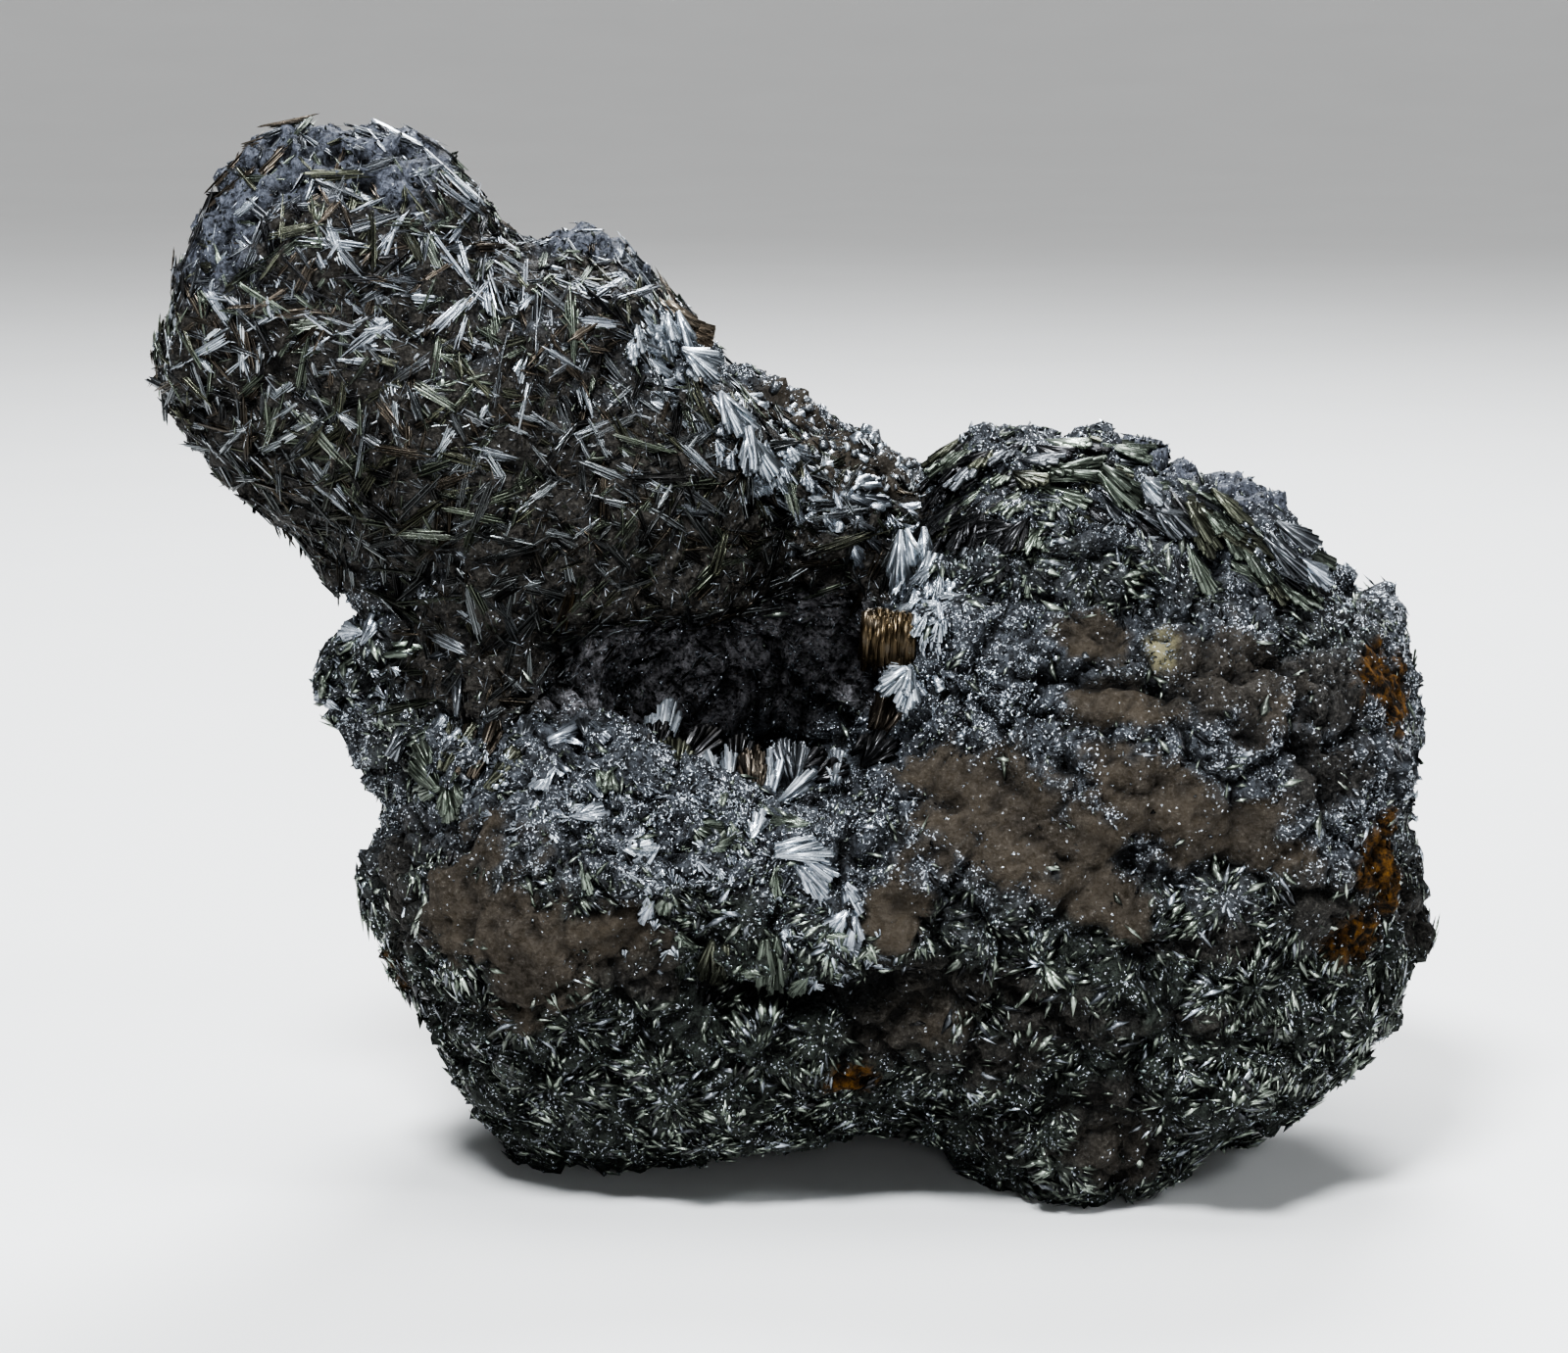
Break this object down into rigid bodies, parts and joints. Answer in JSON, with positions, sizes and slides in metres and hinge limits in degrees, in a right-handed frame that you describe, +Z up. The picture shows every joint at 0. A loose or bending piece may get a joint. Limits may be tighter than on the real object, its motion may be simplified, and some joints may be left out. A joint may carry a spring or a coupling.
{
  "type": "pyrolusite specimen",
  "caption": "Free-standing dark mineral specimen: a lumpy block with a needle-covered finger leaning up over a hollow and a low dome beside it.",
  "frame": {"origin": "bottom centre of the bounding box, level with the flats of the feet", "axes": "+Z up, the face with the hollow looks along -Y, the finger leans towards -X and the dome is at +X"},
  "size_m": [0.1186, 0.0644, 0.0984],
  "materials": {
    "manganese_oxide": "dark steel-grey crystals with a metallic glint over dull black and brown oxide, rust-stained in places"
  },
  "bodies": {
    "root": {"pyrolusite_mass": "manganese_oxide"}
  },
  "joints": []
}
